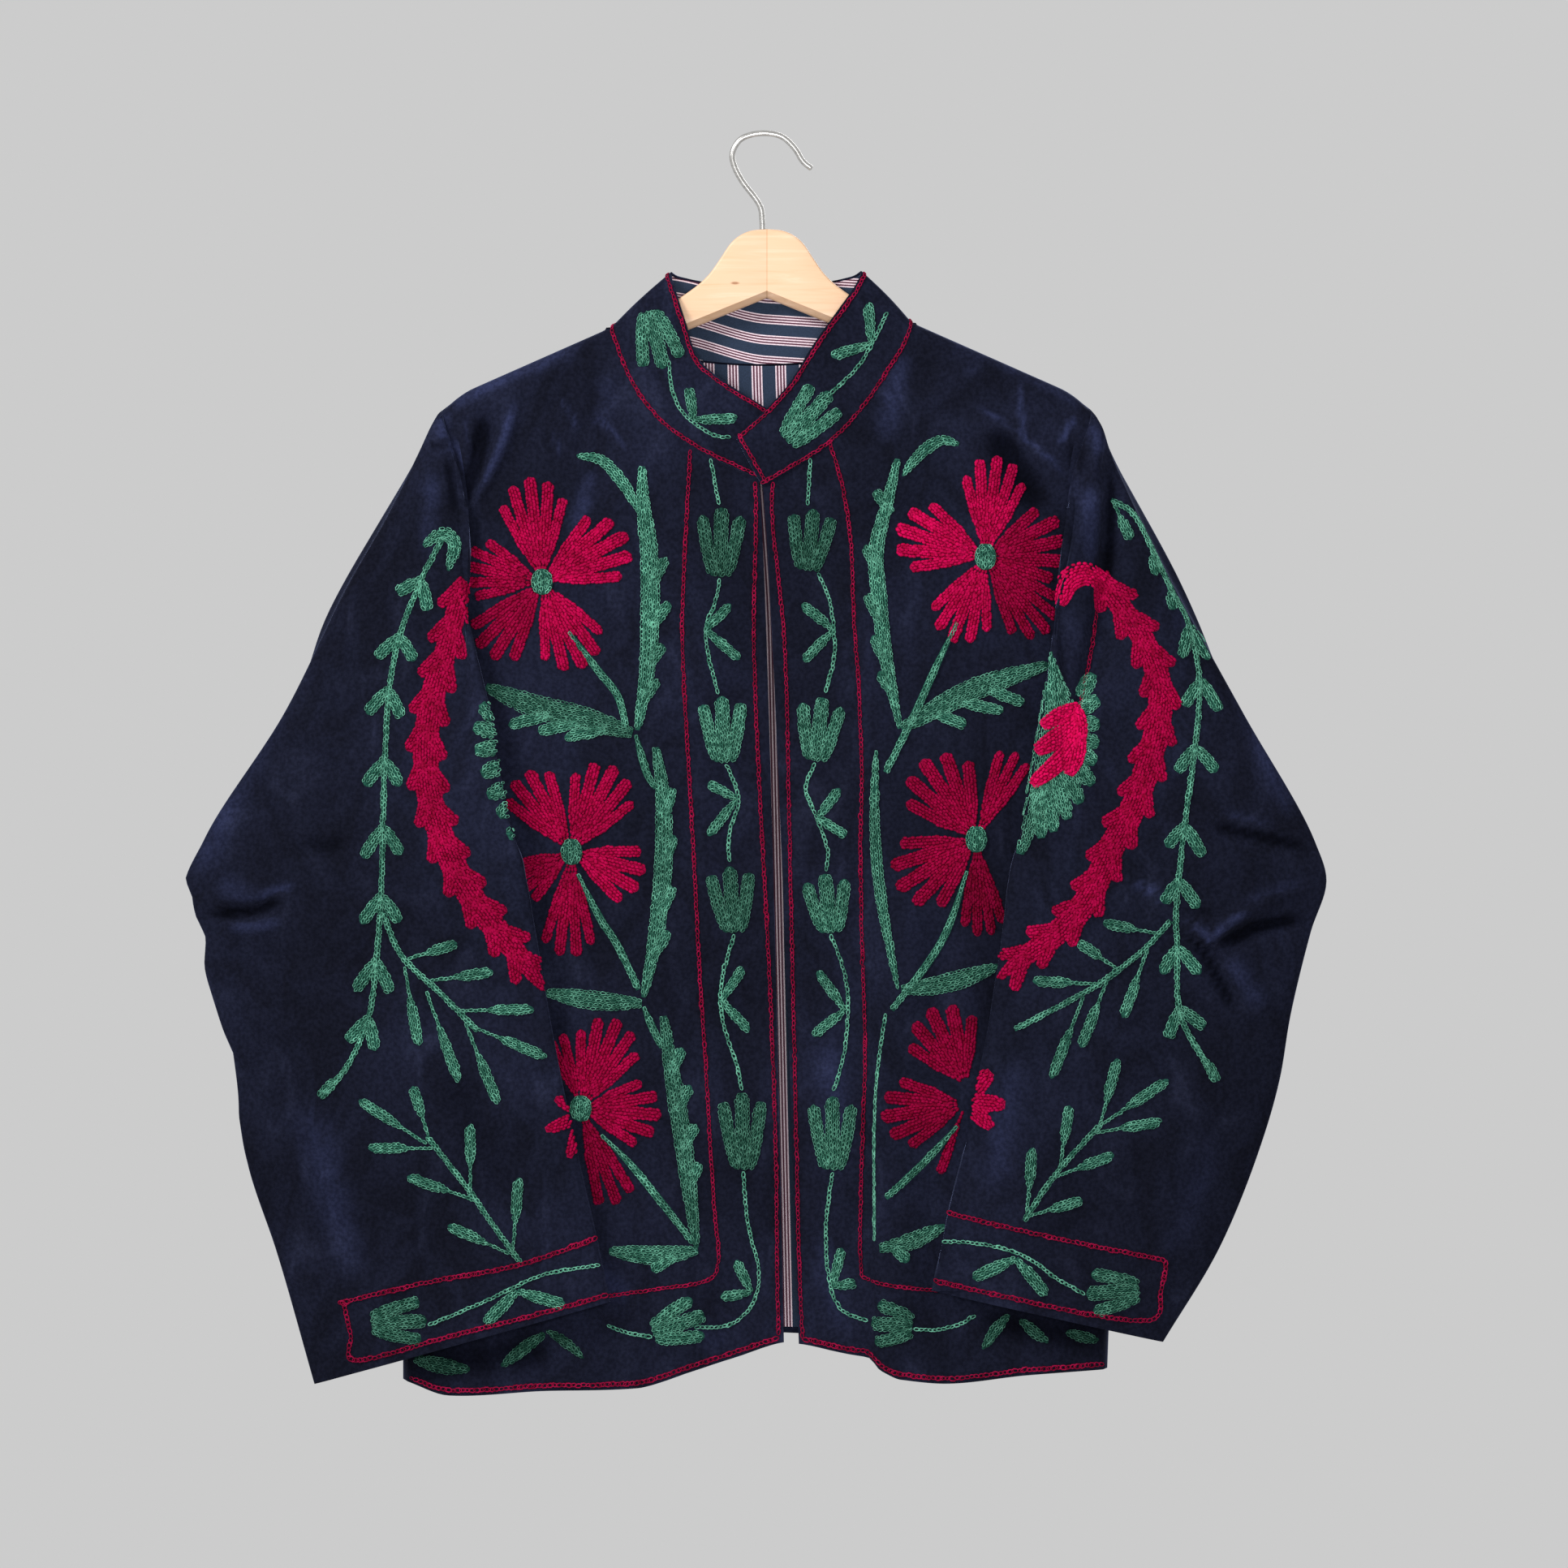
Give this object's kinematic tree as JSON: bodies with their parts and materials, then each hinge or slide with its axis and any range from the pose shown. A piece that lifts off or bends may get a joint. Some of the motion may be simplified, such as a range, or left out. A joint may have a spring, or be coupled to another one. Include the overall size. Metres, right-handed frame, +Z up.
{
  "type": "suzani jacket on a wooden hanger",
  "caption": "Open-front velvet jacket with a stand collar, wide sleeves and chain-stitch suzani embroidery, hung on a wooden hanger with a steel hook.",
  "frame": {"origin": "the inner top of the hanger hook's crook, where it hangs on a rail", "axes": "+Z up, +Y towards the jacket's back, +X towards the wearer's left"},
  "size_m": [0.73, 0.0756, 0.8129],
  "materials": {
    "velvet": "navy velvet with a soft crushed nap",
    "striped_lining": "plain-weave striped cotton",
    "wood": "pale satin-lacquered wood",
    "steel": "polished wire"
  },
  "bodies": {
    "root": {"back_panel": "velvet", "front_left": "velvet", "front_right": "velvet", "sleeve_left": "velvet", "sleeve_right": "velvet", "collar": "velvet", "collar_lining": "striped_lining", "back_lining": "striped_lining", "hanger_bar": "wood", "hanger_hook": "steel"}
  },
  "joints": []
}
